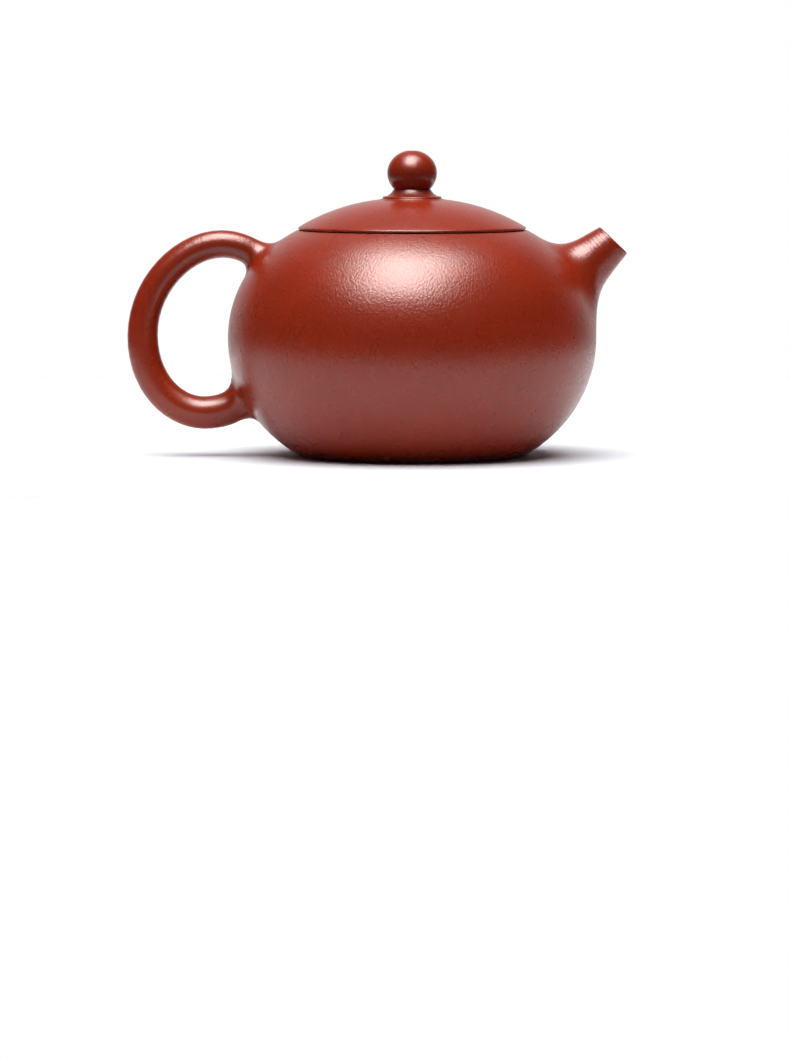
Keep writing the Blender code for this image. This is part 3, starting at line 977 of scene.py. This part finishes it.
def mouth_clay(name, edge):
    """Raw clay on the rim's top and inside, burnished from the edge's radius outwards."""
    material, tree, shader, place = new_clay(name)
    radius = tree.nodes.new("ShaderNodeVectorMath")
    radius.operation = "LENGTH"
    feed(tree, scaled(tree, place, (1.0, 1.0, 0.0)), radius.inputs[0])
    share = carried(tree, radius.outputs["Value"], (edge - RAW_EDGE[0], edge - RAW_EDGE[1]))
    colours = [clay_colour(tree, place, colour) for colour in (RAW_COLOUR, BURNISHED_COLOUR)]
    polishes = [clay_polish(tree, place, gloss) for gloss in (RAW_ROUGHNESS, BURNISHED_ROUGHNESS)]
    feed(tree, mixed(tree, "RGBA", share, *colours), shader.inputs["Base Color"])
    feed(tree, mixed(tree, "FLOAT", share, *polishes), shader.inputs["Roughness"])
    feed(tree, clay_skin(tree, place, RIM_SKIN), shader.inputs["Normal"])
    return material


# ---------------------------------------------------------------- stage


def camera():
    data = bpy.data.cameras.new("camera")
    data.sensor_width = 36.0
    data.lens = data.sensor_width * CAMERA_DISTANCE / VIEW_HEIGHT
    data.clip_start = 0.05
    data.clip_end = 50.0
    seat = bpy.data.objects.new("camera", data)
    seat.location = (VIEW_CENTRE[0], -CAMERA_DISTANCE, CAMERA_HEIGHT)
    aim = Vector((VIEW_CENTRE[0], 0.0, VIEW_CENTRE[1])) - seat.location
    seat.rotation_euler = aim.to_track_quat("-Z", "Y").to_euler()
    bpy.context.scene.collection.objects.link(seat)
    bpy.context.scene.camera = seat


def softbox(name, azimuth, elevation, distance, size, radiance):
    """A rectangular light that faces the pot and shows in its gloss only. Its azimuth is counted
    from the camera's side."""
    turn = math.radians(azimuth)
    rise = math.radians(elevation)
    way = Vector((math.sin(turn) * math.cos(rise), -math.cos(turn) * math.cos(rise), math.sin(rise)))
    data = bpy.data.lights.new(name, "AREA")
    data.shape = "RECTANGLE"
    data.size, data.size_y = size
    data.energy = radiance * math.pi * size[0] * size[1]
    lamp = bpy.data.objects.new(name, data)
    lamp.location = Vector((AXIS_X, 0.0, BELLY_MIDDLE)) + way * distance
    lamp.rotation_euler = (-way).to_track_quat("-Z", "Y").to_euler()
    lamp.visible_camera = False
    lamp.visible_diffuse = False
    bpy.context.scene.collection.objects.link(lamp)


def ceiling():
    """A broad soft light from overhead, which lights the clay but doesn't show in its gloss."""
    data = bpy.data.lights.new("ceiling", "SUN")
    data.angle = CEILING_WIDTH
    data.energy = CEILING_ENERGY
    lamp = bpy.data.objects.new("ceiling", data)
    lamp.rotation_euler = CEILING_TURN
    lamp.visible_glossy = False
    bpy.context.scene.collection.objects.link(lamp)


def floor():
    """A thin round pale board that reaches further behind the pot. Its underside is set in, so
    that no upright edge shows."""
    outline = dense([(0.001, 0.0), (BOARD_RADIUS, 0.0)], 0.05)
    outline += [(BOARD_RADIUS - BOARD_INSET, -BOARD_THICKNESS), (0.001, -BOARD_THICKNESS)]
    material = bpy.data.materials.new("pale_table")
    material.use_nodes = True
    shader = material.node_tree.nodes["Principled BSDF"]
    shader.inputs["Base Color"].default_value = BOARD_COLOUR
    shader.inputs["Roughness"].default_value = BOARD_ROUGHNESS
    place = (AXIS_X, BOARD_SHIFT, 0.0)
    grid_piece("table_top", turned_rows(outline, 64), place, material)


def surroundings():
    """A dim room with a pale wall behind the pot; the camera itself sees plain white."""
    world = bpy.data.worlds.new("studio")
    world.use_nodes = True
    bpy.context.scene.world = world
    tree = world.node_tree
    place = tree.nodes.new("ShaderNodeTexCoord").outputs["Generated"]
    depth = carried(tree, component(tree, place, "Y"), WALL_REACH)
    walls = ramp(tree, depth, [(0.0, ROOM_TONE), (1.0, WALL_TONE)])
    seen = tree.nodes.new("ShaderNodeLightPath").outputs["Is Camera Ray"]
    feed(tree, mixed(tree, "RGBA", seen, walls, WHITE), tree.nodes["Background"].inputs["Color"])
    bpy.context.scene.view_settings.view_transform = "Standard"


# ---------------------------------------------------------------- assembly


def place_piece(piece, body, node):
    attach(piece, body)
    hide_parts(node)


def main():
    camera()
    surroundings()
    for values in SOFTBOXES:
        softbox(*values)
    ceiling()
    floor()
    skin = clay("burnished_clay_body", BURNISHED_COLOUR, BURNISHED_ROUGHNESS, BODY_SKIN)
    bar = clay("burnished_clay_bar", BURNISHED_COLOUR, BURNISHED_ROUGHNESS, BAR_SKIN)
    smooth = clay("burnished_clay_smooth", BURNISHED_COLOUR, BURNISHED_ROUGHNESS, LID_SKIN)
    plain = clay("raw_clay", RAW_COLOUR, RAW_ROUGHNESS, INNER_SKIN)
    rim = mouth_clay("mouth_clay", float(belly_radius(RIM_HEIGHT)))
    place_piece(body_wall(skin), "pot", "body_wall")
    place_piece(base_disc(skin), "pot", "base_disc")
    place_piece(mouth_ring(rim), "pot", "mouth_ring")
    place_piece(spout(bar), "pot", "spout")
    place_piece(strainer(plain), "pot", "strainer")
    place_piece(handle(bar), "pot", "handle")
    place_piece(lid_plate(smooth), "lid", "lid_plate")
    place_piece(lid_flange(smooth), "lid", "lid_flange")
    place_piece(knob_seat(smooth), "lid", "knob_seat")
    place_piece(knob(smooth), "lid", "knob")


main()
